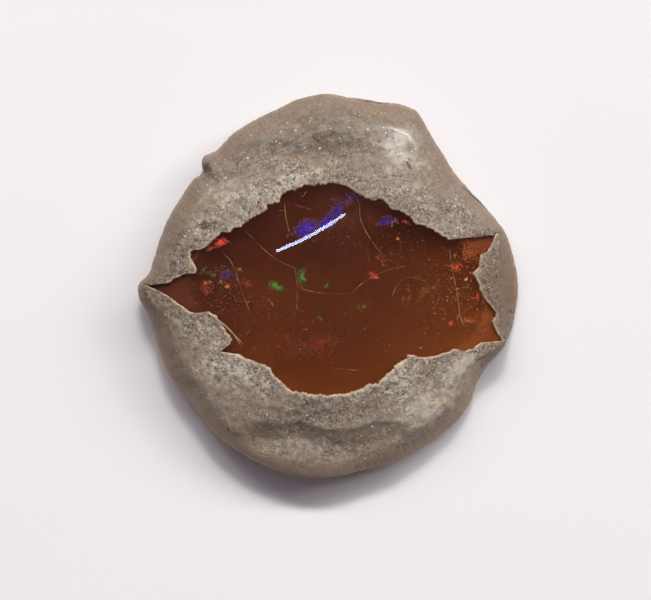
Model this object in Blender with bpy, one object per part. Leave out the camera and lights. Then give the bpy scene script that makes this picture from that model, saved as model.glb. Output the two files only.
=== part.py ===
"""A rough opal specimen: a rounded nodule of grey host rock whose top was ground to a low dome, so that a
ragged window opens on the brown opal inside. It rests on a flat underside.

Metres, +Z up. The origin is on the resting face, under the middle of the stone's outline. The host rock is one
piece with a pocket, and the opal is the piece that fills the pocket."""

import math

import bmesh
import bpy
import numpy as np
from mathutils import Vector, noise

MM = 0.001

# The ground dome, in millimetres over the resting face.
TOP_HEIGHT = 7.0
DOME_RADIUS = 42.0  # radius of curvature
TOP_AT = -2.0  # where the dome is highest, along X

# Round the side, at angles in degrees from +X: the widest line's height, the width over which the dome rolls over
# to the side, and how far that edge is thin and sloping (1) or upright (0).
GIRTH = (
    (-180, 2.2), (-160, 2.3), (-140, 2.3), (-120, 2.8), (-105, 3.3), (-92, 3.3), (-78, 2.3), (-60, 1.4), (-40, 0.9),
    (-15, 0.7), (15, 0.8), (60, 1.6), (120, 2.0), (150, 2.2),
)
ROLL = (
    (-172, 1.2), (-150, 2.0), (-130, 1.9), (-108, 1.2), (-95, 1.1), (-80, 1.5), (-62, 1.9), (-45, 1.9), (-32, 1.6),
    (-24, 1.0), (-18, 0.35), (-12, 0.9), (0, 1.8), (12, 1.2), (17, 0.75), (22, 1.2), (35, 2.0), (60, 2.4), (90, 2.6),
    (120, 2.6), (150, 2.3), (168, 1.5), (180, 0.7),
)
THIN = ((-180, 0.3), (-150, 0.0), (-70, 0.0), (-50, 0.6), (-25, 1.0), (20, 1.0), (45, 0.5), (80, 0.0), (150, 0.0))

# The side and the underside.
REST_RADIUS = 10.5  # of the flat resting face
UNDERSIDE_LUMPS = 0.5
LUMP_LENGTH = 5.5

# The pocket, its opal and the edge between them.
GAP = 0.3  # clearance between the opal and its pocket
LIP = 0.15  # how far the rock's edge stands over the opal
POCKET_EDGE = 0.45  # how deep the pocket lies under the dome at its edge
POCKET_BOWL = 4.5  # and how much deeper on the axis
POCKET_ROUND = 2.4  # exponents of the pocket's section, a rounded bowl
POCKET_STEEP = 0.8

# The stone's outline from above, in millimetres, counter-clockwise from +X.
OUTLINE = (
    (16.0, -0.1), (15.9, 1.0), (15.5, 2.8), (15.0, 4.3), (14.1, 5.6), (12.5, 7.4), (10.8, 9.2), (9.5, 11.3),
    (8.4, 13.1), (7.4, 14.7), (6.6, 15.1), (4.2, 15.5), (1.5, 15.9), (-0.4, 16.2), (-2.6, 15.7), (-4.4, 14.8),
    (-6.1, 14.0), (-7.9, 12.9), (-9.4, 11.4), (-10.7, 10.3), (-10.6, 9.7), (-11.4, 8.9), (-12.3, 7.6),
    (-13.8, 5.0), (-14.7, 2.3), (-15.2, 0.9), (-15.9, 0.2), (-16.0, -0.8), (-15.1, -2.5), (-14.5, -4.5),
    (-14.0, -6.2), (-13.2, -7.8), (-12.0, -9.3), (-10.7, -11.1), (-9.4, -12.6), (-7.4, -14.1), (-5.2, -15.2),
    (-3.1, -15.9), (-1.3, -16.2), (0.9, -16.0), (3.1, -15.5), (5.3, -15.0), (7.5, -13.9), (9.7, -12.4),
    (11.2, -11.0), (12.1, -9.5), (12.6, -8.0), (13.4, -6.7), (14.7, -5.3), (15.4, -3.8), (15.8, -1.9),
)

# The ragged edge of the window, in millimetres, counter-clockwise from +X.
WINDOW = (
    (12.4, 0.5), (12.0, 1.0), (12.5, 1.5), (12.7, 2.6), (13.3, 2.8), (13.5, 3.2), (14.0, 4.4), (12.9, 4.1),
    (12.3, 4.0), (10.0, 3.8), (9.3, 4.2), (8.6, 4.7), (7.3, 5.1), (6.8, 5.7), (5.9, 6.2), (5.2, 6.3),
    (4.8, 6.9), (4.4, 7.2), (3.6, 7.0), (2.5, 7.6), (1.4, 8.3), (0.3, 8.5), (-1.0, 8.3), (-2.0, 8.3),
    (-2.9, 7.9), (-3.5, 7.8), (-4.0, 7.3), (-4.1, 6.9), (-5.2, 6.7), (-5.0, 6.3), (-6.2, 5.7), (-7.2, 5.0),
    (-8.3, 4.4), (-8.9, 4.4), (-9.7, 3.6), (-10.0, 3.3), (-10.7, 2.9), (-11.3, 3.0), (-11.5, 2.8),
    (-11.4, 2.0), (-10.9, 1.4), (-11.1, 1.0), (-12.0, 0.9), (-13.0, 0.5), (-13.3, 0.2), (-15.2, 0.0),
    (-14.0, -0.5), (-13.4, -0.9), (-12.1, -1.8), (-11.6, -2.2), (-11.0, -2.3), (-10.0, -2.2), (-9.3, -2.6),
    (-8.8, -3.4), (-8.0, -4.5), (-8.2, -4.9), (-9.0, -5.5), (-7.4, -5.7), (-6.6, -6.2), (-5.3, -6.6),
    (-4.8, -6.9), (-4.7, -7.3), (-3.6, -8.3), (-3.3, -8.7), (-2.1, -8.9), (-1.0, -9.1), (1.0, -9.1),
    (1.9, -8.9), (2.7, -8.6), (3.4, -8.2), (4.0, -8.2), (4.7, -7.6), (5.5, -6.7), (6.7, -5.8), (7.1, -5.8),
    (7.5, -6.0), (8.2, -6.0), (9.8, -5.6), (10.6, -5.3), (11.4, -5.5), (12.1, -5.3), (12.7, -4.8),
    (13.9, -4.7), (14.65, -4.68), (14.4, -4.3), (13.9, -3.7), (13.7, -3.0), (14.0, -2.3), (13.6, -1.8),
    (12.9, -0.9), (12.7, -0.4),
)

# A ledge crosses the rock below the window, along this line, and the rock beyond it lies lower.
LEDGE = (
    (-7.3, -10.9), (-4.6, -11.5), (-2.4, -11.4), (-0.2, -12.0), (1.8, -12.1), (3.8, -11.4), (7.0, -11.0),
)
LEDGE_DROP = 0.4
LEDGE_FACE = 0.6  # width of its steep face
LEDGE_RUN = 2.6  # width over which the rock comes back up to the dome
LEDGE_FADE = math.radians(9.0)  # how far round each end takes to run out

# Shallow hollows in the rock: centre, half-lengths along X and Y, depth. The last one is a swelling.
HOLLOWS = (
    ((0.2, 11.8), (2.6, 1.2), 0.3),
    ((-4.6, 11.2), (3.6, 1.1), 0.2),
    ((-8.6, 8.4), (2.6, 1.5), 0.2),
    ((-9.6, 10.2), (0.9, 0.8), 0.25),
    ((-7.2, 6.6), (1.0, 0.8), 0.2),
    ((-10.2, 4.7), (1.1, 0.7), 0.25),
    ((9.6, -8.6), (2.4, 1.8), 0.25),
    ((7.0, 13.2), (2.8, 2.2), -0.35),
)
RELIEF_EDGE = 1.6  # hollows and the ledge run out over this width at the outline

# Flat broken faces under the girth: azimuth and elevation of the outward normal in degrees, distance from the axis.
CHIPS = (
    (100.0, -25.0, 13.42),
    (154.0, -25.0, 12.25),
    (216.0, -28.0, 12.1),
    (262.0, -28.0, 12.62),
)

# The rings of points that the surfaces are drawn through.
POCKET_RINGS = (0.32, 0.55, 0.7, 0.81, 0.9, 0.96, 1.0)
BROW_RINGS = 3  # from the window's edge to the line of the ledge
ROLL_RINGS = 5  # from there to the outline
SIDE_RINGS = 7
DOME_RINGS = (0.25, 0.5, 0.7, 0.87, 1.0)
LEAST_TURN = math.radians(0.5)  # between neighbouring points of a ring


def smoothstep(value):
    value = np.clip(value, 0.0, 1.0)
    return value * value * (3.0 - 2.0 * value)


def radius_through(points, angles):
    """The radius at each angle of the closed outline through points, which must see the origin."""
    x, y = np.array(points).T
    return np.interp(angles, np.arctan2(y, x), np.hypot(x, y), period=2.0 * math.pi)


def smooth_through(at, values, angles):
    """A smooth closed curve of values over the angle, through the values that are known at some angles."""
    order = np.argsort(at)
    at, values = at[order], values[order]
    at = np.concatenate([at[-2:] - 2.0 * math.pi, at, at[:2] + 2.0 * math.pi])
    values = np.concatenate([values[-2:], values, values[:2]])
    slope = np.gradient(values, at)
    i = np.clip(np.searchsorted(at, angles) - 1, 0, len(at) - 2)
    step = at[i + 1] - at[i]
    t = (angles - at[i]) / step
    start = (1.0 + 2.0 * t) * (1.0 - t) ** 2 * values[i] + t * (1.0 - t) ** 2 * step * slope[i]
    end = t**2 * (3.0 - 2.0 * t) * values[i + 1] + t**2 * (t - 1.0) * step * slope[i + 1]
    return start + end


def round_the_side(stations, angles):
    """A quantity that is given at some angles in degrees, carried smoothly round the stone."""
    degrees, values = np.array(stations, dtype=float).T
    return smooth_through(np.radians((degrees + 180.0) % 360.0 - 180.0), values, angles)


def window_radius(angles):
    return radius_through(WINDOW, angles)


def rounded_radius(angles):
    """The stone's outline as a smooth curve through its points."""
    x, y = np.array(OUTLINE).T
    return smooth_through(np.arctan2(y, x), np.hypot(x, y), angles)


def even_radius(radius_at, angles):
    """A radius that radius_at gives, averaged over the directions near each angle, so without small corners."""
    turns = np.radians(np.linspace(-24.0, 24.0, 13))
    return np.mean([radius_at((angles + t + math.pi) % (2.0 * math.pi) - math.pi) for t in turns], axis=0)


def spokes():
    """The angles of the points round each ring: every corner of the window, and the outline's between them."""
    angles = sorted(math.atan2(y, x) for x, y in WINDOW)
    for x, y in OUTLINE:
        angle = math.atan2(y, x)
        if min(abs(angle - other) for other in angles) > LEAST_TURN:
            angles.append(angle)
    return np.array(sorted(angles))


def face_height(radius, angles, outline):
    """The ground dome with its rolled edge, which stands upright at the outline, or slopes where it is thin."""
    off_top = radius**2 - 2.0 * TOP_AT * radius * np.cos(angles) + TOP_AT**2
    dome = TOP_HEIGHT - off_top / (2.0 * DOME_RADIUS)
    into_edge = np.clip(1.0 - (outline - radius) / round_the_side(ROLL, angles), 0.0, 1.0)
    upright = 1.0 - np.sqrt(1.0 - into_edge**2)
    drop = upright + (into_edge**2 - upright) * round_the_side(THIN, angles)
    return dome - (dome - round_the_side(GIRTH, angles)) * drop


def middle_height():
    """The dome's height on the axis."""
    return TOP_HEIGHT - TOP_AT**2 / (2.0 * DOME_RADIUS)


def ledge_line(angles, window, outline):
    """The radius of the ledge, carried on round the rock, and its strength, which is 0 away from the ledge."""
    x, y = np.array(LEDGE).T
    at, radius = np.arctan2(y, x), np.hypot(x, y)
    strength = smoothstep((angles - at[0]) / LEDGE_FADE) * smoothstep((at[-1] - angles) / LEDGE_FADE)
    elsewhere = np.maximum(window + 0.4 * (outline - window), 0.86 * outline)
    line = elsewhere + (np.interp(angles, at, radius) - elsewhere) * strength
    return line, strength


def ledge_drop(radius, line, strength):
    """How far the rock lies under the dome beyond the ledge."""
    down = smoothstep((radius - line) / LEDGE_FACE)
    back = 1.0 - smoothstep((radius - line - LEDGE_FACE) / LEDGE_RUN)
    return LEDGE_DROP * strength * down * back


def hollow_depth(x, y):
    depth = np.zeros_like(x)
    for (centre_x, centre_y), (half_x, half_y), deepest in HOLLOWS:
        away = ((x - centre_x) / half_x) ** 2 + ((y - centre_y) / half_y) ** 2
        depth += deepest * smoothstep(1.0 - away)
    return depth


def inset_radius(points, angles, gap):
    """The outline's radius drawn in so that every point keeps gap to the outline."""
    fine = np.linspace(-math.pi, math.pi, 2160, endpoint=False)
    edge = radius_through(points, fine)
    edge_x, edge_y = edge * np.cos(fine), edge * np.sin(fine)
    along = np.outer(np.cos(angles), edge_x) + np.outer(np.sin(angles), edge_y)
    aside = np.outer(np.cos(angles), edge_y) - np.outer(np.sin(angles), edge_x)
    meets = (np.abs(aside) < gap) & (along > 0)
    entry = along - np.sqrt(np.clip(gap**2 - aside**2, 0.0, None))
    return np.where(meets, entry, np.inf).min(axis=1)


def pocket_height(radius, angles, outline):
    """The pocket's floor: a smooth bowl under the dome, which takes no notice of the window's small corners."""
    share = np.clip(radius / even_radius(window_radius, angles), 0.0, 1.0)
    depth = POCKET_EDGE + POCKET_BOWL * (1.0 - share**POCKET_ROUND) ** POCKET_STEEP
    return face_height(radius, angles, outline) - depth


def ring(radius, height, angles):
    """One ring of points, as rows of x, y and z in millimetres."""
    return np.stack([radius * np.cos(angles), radius * np.sin(angles), height + 0.0 * angles], axis=1)


def cut_chips(points):
    """Presses every point that lies beyond a chip's plane back onto it."""
    for azimuth, elevation, distance in CHIPS:
        a, e = math.radians(azimuth), math.radians(elevation)
        normal = np.array([math.cos(a) * math.cos(e), math.sin(a) * math.cos(e), math.sin(e)])
        beyond = np.clip(points @ normal - distance, 0.0, None)
        points = points - np.outer(beyond, normal)
    return points


def lump(points):
    """Low natural swellings of the nodule, from -1 to 1."""
    return np.array([noise.noise(Vector(p / LUMP_LENGTH)) for p in points])


def skin(name, rings, bottom_height, top_height, material):
    """A closed mesh through rings of points, drawn together on the axis at both ends."""
    bm = bmesh.new()
    loops = [[bm.verts.new(Vector(p) * MM) for p in points] for points in rings]
    for one, other in zip(loops, loops[1:]):
        for i in range(len(one)):
            j = (i + 1) % len(one)
            bm.faces.new((one[i], one[j], other[j], other[i]))
    for loop, height in ((loops[0], bottom_height), (loops[-1], top_height)):
        pole = bm.verts.new((0.0, 0.0, height * MM))
        for i in range(len(loop)):
            bm.faces.new((loop[i], loop[(i + 1) % len(loop)], pole))
    bmesh.ops.recalc_face_normals(bm, faces=bm.faces)
    mesh = bpy.data.meshes.new(name)
    bm.to_mesh(mesh)
    bm.free()
    mesh.shade_smooth()
    mesh.set_sharp_from_angle(angle=math.radians(40))
    mesh.materials.append(material)
    made = bpy.data.objects.new(name, mesh)
    bpy.context.scene.collection.objects.link(made)
    return made


def finish(name, colour, roughness, transmission=0.0, ior=1.5):
    material = bpy.data.materials.new(name)
    material.use_nodes = True
    shader = material.node_tree.nodes["Principled BSDF"]
    shader.inputs["Base Color"].default_value = (*colour, 1.0)
    shader.inputs["Roughness"].default_value = roughness
    shader.inputs["Metallic"].default_value = 0.0
    shader.inputs["Transmission Weight"].default_value = transmission
    shader.inputs["IOR"].default_value = ior
    return material


def build_host_rock(angles):
    """The rock, from the bottom of its pocket, over the window's edge and down the side to the resting face."""
    outline = rounded_radius(angles)
    window = window_radius(angles)
    line, strength = ledge_line(angles, window, outline)
    rings = [
        ring(window * share, pocket_height(window * share, angles, outline), angles)
        for share in POCKET_RINGS
    ]
    brow = [window + (line - window) * k / BROW_RINGS for k in range(BROW_RINGS + 1)]
    foot = line + np.minimum(LEDGE_FACE, 0.4 * (outline - line))
    roll = [foot + (outline - foot) * math.sin(math.pi / 2 * k / ROLL_RINGS) for k in range(ROLL_RINGS + 1)]
    for radius in brow + roll:
        points = ring(radius, face_height(radius, angles, outline), angles)
        relief = LIP - ledge_drop(radius, line, strength) - hollow_depth(points[:, 0], points[:, 1])
        points[:, 2] += relief * smoothstep((outline - radius) / RELIEF_EDGE)
        rings.append(cut_chips(points))
    even = even_radius(rounded_radius, angles)
    girth_height = round_the_side(GIRTH, angles)
    for k in range(1, SIDE_RINGS + 1):
        turn = math.pi / 2 * k / SIDE_RINGS
        girth = outline + (even - outline) * math.sin(turn)
        reach = REST_RADIUS + (girth - REST_RADIUS) * math.cos(turn)
        points = ring(reach, girth_height * (1 - math.sin(turn)), angles)
        swell = 1.0 + UNDERSIDE_LUMPS * math.sin(2 * turn) ** 2 * lump(points) / outline
        points[:, :2] *= swell[:, None]
        points = cut_chips(points)
        points[:, 2] = np.clip(points[:, 2], 0.0, None)
        rings.append(points)
    rings[-1][:, 2] = 0.0
    rock = finish("host_rock", (0.40, 0.37, 0.32), 0.75)
    return skin("host_rock", rings, middle_height() - POCKET_EDGE - POCKET_BOWL, 0.0, rock)


def build_opal(angles):
    """The opal: the ground dome above, and below the pocket's own shape, clear of the rock all round."""
    outline = rounded_radius(angles)
    rim = inset_radius(WINDOW, angles, GAP)
    rings = [
        ring(rim * share, pocket_height(rim * share, angles, outline) + GAP, angles)
        for share in POCKET_RINGS
    ]
    for share in reversed(DOME_RINGS):
        rings.append(ring(rim * share, face_height(rim * share, angles, outline), angles))
    glassy = finish("opal", (0.17, 0.04, 0.015), 0.08, transmission=0.6, ior=1.45)
    top = middle_height()
    return skin("opal", rings, top - POCKET_EDGE - POCKET_BOWL + GAP, top, glassy)


def main():
    for old in list(bpy.data.objects):
        bpy.data.objects.remove(old)
    angles = spokes()
    build_host_rock(angles)
    build_opal(angles)


main()
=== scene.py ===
"""A rough opal specimen on a pale table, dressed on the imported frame.

Lengths are in millimetres unless a comment says otherwise, and MM makes them metres. The shapes repeat the
part's named values and functions, so that the finer rock and opal lie where its solids do."""

import math
import random

import bmesh
import bpy
import numpy as np
from mathutils import Matrix, Vector, noise

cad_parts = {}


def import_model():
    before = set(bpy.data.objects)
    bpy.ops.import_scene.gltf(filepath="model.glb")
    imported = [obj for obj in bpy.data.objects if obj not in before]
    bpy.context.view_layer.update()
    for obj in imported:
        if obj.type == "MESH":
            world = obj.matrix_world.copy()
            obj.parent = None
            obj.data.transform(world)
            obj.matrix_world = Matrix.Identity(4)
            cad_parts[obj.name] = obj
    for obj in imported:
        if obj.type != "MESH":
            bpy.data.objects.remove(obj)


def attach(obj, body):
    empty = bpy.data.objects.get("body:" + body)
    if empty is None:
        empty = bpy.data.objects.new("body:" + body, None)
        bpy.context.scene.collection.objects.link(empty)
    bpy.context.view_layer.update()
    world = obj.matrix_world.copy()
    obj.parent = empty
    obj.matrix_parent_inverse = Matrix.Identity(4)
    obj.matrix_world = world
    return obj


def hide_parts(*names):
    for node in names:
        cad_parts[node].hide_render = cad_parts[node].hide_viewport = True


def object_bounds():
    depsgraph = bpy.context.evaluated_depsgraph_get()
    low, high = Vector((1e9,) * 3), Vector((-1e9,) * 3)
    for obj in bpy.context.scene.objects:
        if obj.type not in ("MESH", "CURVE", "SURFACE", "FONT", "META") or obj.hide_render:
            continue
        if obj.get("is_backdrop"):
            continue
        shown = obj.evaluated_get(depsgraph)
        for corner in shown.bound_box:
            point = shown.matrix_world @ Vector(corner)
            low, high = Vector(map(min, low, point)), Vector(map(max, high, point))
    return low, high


MM = 0.001

# ---- The part's own shape ----

# The ground dome over the resting face.
TOP_HEIGHT = 7.0
DOME_RADIUS = 42.0
TOP_AT = -2.0  # where it is highest, along X
# Round the side, at angles in degrees from +X: the widest line's height, the width over which the dome rolls
# over to the side, and how far that edge is thin and sloping (1) or upright (0).
GIRTH = (
    (-180, 2.2), (-160, 2.3), (-140, 2.3), (-120, 2.8), (-105, 3.3), (-92, 3.3), (-78, 2.3), (-60, 1.4),
    (-40, 0.9), (-15, 0.7), (15, 0.8), (60, 1.6), (120, 2.0), (150, 2.2),
)
ROLL = (
    (-172, 1.2), (-150, 2.0), (-130, 1.9), (-108, 1.2), (-95, 1.1), (-80, 1.5), (-62, 1.9), (-45, 1.9),
    (-32, 1.6), (-24, 1.0), (-18, 0.35), (-12, 0.9), (0, 1.8), (12, 1.2), (17, 0.75), (22, 1.2), (35, 2.0),
    (60, 2.4), (90, 2.6), (120, 2.6), (150, 2.3), (168, 1.5), (180, 0.7),
)
THIN = (
    (-180, 0.3), (-150, 0.0), (-70, 0.0), (-50, 0.6), (-25, 1.0), (20, 1.0), (45, 0.5), (80, 0.0), (150, 0.0),
)
REST_RADIUS = 10.5  # of the flat resting face
UNDERSIDE_LUMPS = 0.5
LUMP_LENGTH = 5.5
LIP = 0.15  # how far the rock's edge stands over the opal
POCKET_EDGE = 0.45  # how deep the pocket lies under the dome at its edge
POCKET_BOWL = 4.5  # and how much deeper on the axis
POCKET_ROUND = 2.4  # exponents of the pocket's section, a rounded bowl
POCKET_STEEP = 0.8

# From above, counter-clockwise from +X: the stone's outline, and the ragged edge of the window in its rock.
OUTLINE = (
    (16.0, -0.1), (15.9, 1.0), (15.5, 2.8), (15.0, 4.3), (14.1, 5.6), (12.5, 7.4), (10.8, 9.2), (9.5, 11.3),
    (8.4, 13.1), (7.4, 14.7), (6.6, 15.1), (4.2, 15.5), (1.5, 15.9), (-0.4, 16.2), (-2.6, 15.7), (-4.4, 14.8),
    (-6.1, 14.0), (-7.9, 12.9), (-9.4, 11.4), (-10.7, 10.3), (-10.6, 9.7), (-11.4, 8.9), (-12.3, 7.6),
    (-13.8, 5.0), (-14.7, 2.3), (-15.2, 0.9), (-15.9, 0.2), (-16.0, -0.8), (-15.1, -2.5), (-14.5, -4.5),
    (-14.0, -6.2), (-13.2, -7.8), (-12.0, -9.3), (-10.7, -11.1), (-9.4, -12.6), (-7.4, -14.1), (-5.2, -15.2),
    (-3.1, -15.9), (-1.3, -16.2), (0.9, -16.0), (3.1, -15.5), (5.3, -15.0), (7.5, -13.9), (9.7, -12.4),
    (11.2, -11.0), (12.1, -9.5), (12.6, -8.0), (13.4, -6.7), (14.7, -5.3), (15.4, -3.8), (15.8, -1.9),
)
WINDOW = (
    (12.4, 0.5), (12.0, 1.0), (12.5, 1.5), (12.7, 2.6), (13.3, 2.8), (13.5, 3.2), (14.0, 4.4), (12.9, 4.1),
    (12.3, 4.0), (10.0, 3.8), (9.3, 4.2), (8.6, 4.7), (7.3, 5.1), (6.8, 5.7), (5.9, 6.2), (5.2, 6.3),
    (4.8, 6.9), (4.4, 7.2), (3.6, 7.0), (2.5, 7.6), (1.4, 8.3), (0.3, 8.5), (-1.0, 8.3), (-2.0, 8.3),
    (-2.9, 7.9), (-3.5, 7.8), (-4.0, 7.3), (-4.1, 6.9), (-5.2, 6.7), (-5.0, 6.3), (-6.2, 5.7), (-7.2, 5.0),
    (-8.3, 4.4), (-8.9, 4.4), (-9.7, 3.6), (-10.0, 3.3), (-10.7, 2.9), (-11.3, 3.0), (-11.5, 2.8),
    (-11.4, 2.0), (-10.9, 1.4), (-11.1, 1.0), (-12.0, 0.9), (-13.0, 0.5), (-13.3, 0.2), (-15.2, 0.0),
    (-14.0, -0.5), (-13.4, -0.9), (-12.1, -1.8), (-11.6, -2.2), (-11.0, -2.3), (-10.0, -2.2), (-9.3, -2.6),
    (-8.8, -3.4), (-8.0, -4.5), (-8.2, -4.9), (-9.0, -5.5), (-7.4, -5.7), (-6.6, -6.2), (-5.3, -6.6),
    (-4.8, -6.9), (-4.7, -7.3), (-3.6, -8.3), (-3.3, -8.7), (-2.1, -8.9), (-1.0, -9.1), (1.0, -9.1),
    (1.9, -8.9), (2.7, -8.6), (3.4, -8.2), (4.0, -8.2), (4.7, -7.6), (5.5, -6.7), (6.7, -5.8), (7.1, -5.8),
    (7.5, -6.0), (8.2, -6.0), (9.8, -5.6), (10.6, -5.3), (11.4, -5.5), (12.1, -5.3), (12.7, -4.8),
    (13.9, -4.7), (14.65, -4.68), (14.4, -4.3), (13.9, -3.7), (13.7, -3.0), (14.0, -2.3), (13.6, -1.8),
    (12.9, -0.9), (12.7, -0.4),
)
# A ledge along this line crosses the rock below the window, and the rock beyond it lies lower.
LEDGE = (
    (-7.3, -10.9), (-4.6, -11.5), (-2.4, -11.4), (-0.2, -12.0), (1.8, -12.1), (3.8, -11.4), (7.0, -11.0),
)
LEDGE_DROP = 0.4
LEDGE_FACE = 1.5  # width of its face, which is gentler here than in the part
LEDGE_RUN = 2.6  # width over which the rock comes back up to the dome
LEDGE_FADE = math.radians(9.0)  # how far round each end takes to run out
# Shallow hollows in the rock: centre, half-lengths, depth. The last one is a swelling.
HOLLOWS = (
    ((0.2, 11.8), (2.6, 1.2), 0.3),
    ((-4.6, 11.2), (3.6, 1.1), 0.2),
    ((-8.6, 8.4), (2.6, 1.5), 0.2),
    ((-9.6, 10.2), (0.9, 0.8), 0.25),
    ((-7.2, 6.6), (1.0, 0.8), 0.2),
    ((-10.2, 4.7), (1.1, 0.7), 0.25),
    ((9.6, -8.6), (2.4, 1.8), 0.25),
    ((7.0, 13.2), (2.8, 2.2), -0.35),
)
RELIEF_EDGE = 1.6  # the relief dies out over this far from the outline
# Flats that were knocked off the side: azimuth and elevation of each one's normal, and its distance.
CHIPS = (
    (100.0, -25.0, 13.42),
    (154.0, -25.0, 12.25),
    (216.0, -28.0, 12.1),
    (262.0, -28.0, 12.62),
)

# ---- What is finer than the part ----

# Points round each ring, and rings, of the rock and of the opal.
ROCK_SPOKES = 900
POCKET_RINGS = 24
FACE_RINGS = 60
SIDE_RINGS = 18
BASE_RINGS = 5
OPAL_SPOKES = 480
OPAL_DOME_RINGS = 40
OPAL_BOWL_RINGS = 20
OPAL_TUCK = 0.12  # how far the opal reaches in under the rock's edge and into its pocket
OPAL_INSIDE = 0.25  # how far it keeps from the stone's outline
EVEN_TURN = 38.0  # degrees to each side over which even_radius averages, wider and finer than the part's
EVEN_SAMPLES = 61
GRAIN_RADIUS = 13.0  # where the streaks that run round the rock have their full length
GRAIN_SQUEEZE = 3.2  # how much finer they are outwards

# What the rock's points store as their distance from the window or the rim, where it isn't measured.
IN_POCKET = -1.0
FAR_FROM_WINDOW = 8.0
FAR_FROM_RIM = 5.0
PAINTED_SHADE_ABOVE = 0.12  # how far the painted shade under the ledge reaches up and down
PAINTED_SHADE_BELOW = 0.4

# Soft patches of the rock: centre, half-lengths, turn in degrees, strength. Here it is chalky (above 0) or
# brown (below 0).
TONES = (
    ((6.4, -8.2), (2.2, 3.0), 20, 0.9),
    # A painted highlight: paler where the polished shoulder catches the lamp.
    ((6.0, 12.3), (1.5, 0.9), 20, 0.9),
    ((11.6, -7.0), (2.0, 1.4), 30, 1.35),
    ((-9.0, -6.6), (2.4, 1.8), -45, 0.55),
    ((9.8, -9.4), (1.6, 2.2), -40, 0.3),
    ((8.6, -11.0), (2.4, 1.3), 35, 0.6),
    ((-12.4, 3.8), (1.4, 1.6), 0, -0.4),
    ((6.8, 9.9), (2.2, 2.9), 10, 0.6),
    ((3.2, 11.6), (1.6, 0.8), 0, 0.3),
    ((-3.4, 8.7), (2.8, 0.9), 18, 0.9),
    ((-6.6, -7.4), (3.2, 1.3), -50, 0.55),
    ((-7.6, 7.6), (2.4, 2.0), 40, 0.45),
    ((-12.1, -3.2), (1.4, 0.6), -30, 0.1),
    ((-9.9, 5.6), (1.4, 1.2), 40, 0.4),
    ((14.4, 0.0), (2.2, 5.0), 0, -0.8),
    ((0.0, 11.7), (4.2, 1.0), 0, -1.25),
    # Painted light: paler under the ledge, lifting its shade.
    ((0.0, -12.9), (6.0, 0.7), 0, 0.35),
    ((-14.0, 0.5), (2.0, 3.5), 0, -0.45),
    ((-1.5, -10.4), (3.6, 0.8), 0, -0.75),
    ((-1.0, 14.4), (6.5, 1.3), 0, -0.4),
    ((-7.4, 10.6), (2.6, 1.6), 38, -0.35),
    ((-9.1, 8.7), (1.1, 0.9), 0, 0.6),
    ((6.0, 7.8), (1.6, 1.4), 0, -0.25),
    ((-13.0, -2.6), (1.6, 1.8), 0, -0.4),
    ((0.0, -14.8), (3.4, 1.0), 0, -0.35),
)
# Here it is rough and pitted, as it is along the border of the window.
ROUGH = (
    ((0.6, 11.7), (4.2, 1.0), 0, 0.9),
    ((-5.2, 10.6), (3.4, 1.0), 20, 0.7),
    ((-9.9, 9.6), (1.0, 0.8), 0, 0.8),
    ((-10.6, 5.0), (1.4, 1.3), 0, 0.6),
    ((6.6, 8.0), (2.6, 2.4), 0, 0.35),
    ((-7.8, -8.4), (3.4, 1.5), -50, 0.45),
    ((1.0, -10.8), (5.0, 0.9), 0, 0.5),
    ((9.0, -7.6), (3.0, 1.6), 35, 0.4),
    ((14.0, -1.2), (0.8, 2.4), 0, 0.3),
    ((0.0, -14.0), (7.0, 1.6), 0, 0.55),
)
# Here it is nearly black.
MARKS = (
    ((6.7, 10.05), (0.16, 0.55), 32, 1.0),
    ((4.25, 12.05), (0.2, 0.15), 0, 1.0),
    ((3.7, 15.45), (1.4, 0.16), -8, 0.8),
    ((12.8, 7.0), (2.4, 0.16), -41, 0.9),
    ((-10.25, 9.9), (0.5, 0.4), 40, 0.8),
    ((-9.7, 9.4), (0.35, 0.3), 0, 0.5),
    ((-10.2, 4.8), (0.7, 0.28), 0, 0.8),
    ((-11.45, 3.25), (0.12, 0.2), 0, 1.0),
    ((-11.1, 3.75), (0.12, 0.2), -20, 1.0),
    ((12.9, -6.7), (0.2, 0.26), 20, 0.9),
    ((-8.4, -12.05), (0.14, 0.3), 30, 0.8),
    ((4.3, -14.2), (1.2, 0.5), 10, 0.35),
    ((-12.3, 2.2), (0.5, 0.3), 0, 0.4),
)
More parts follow.
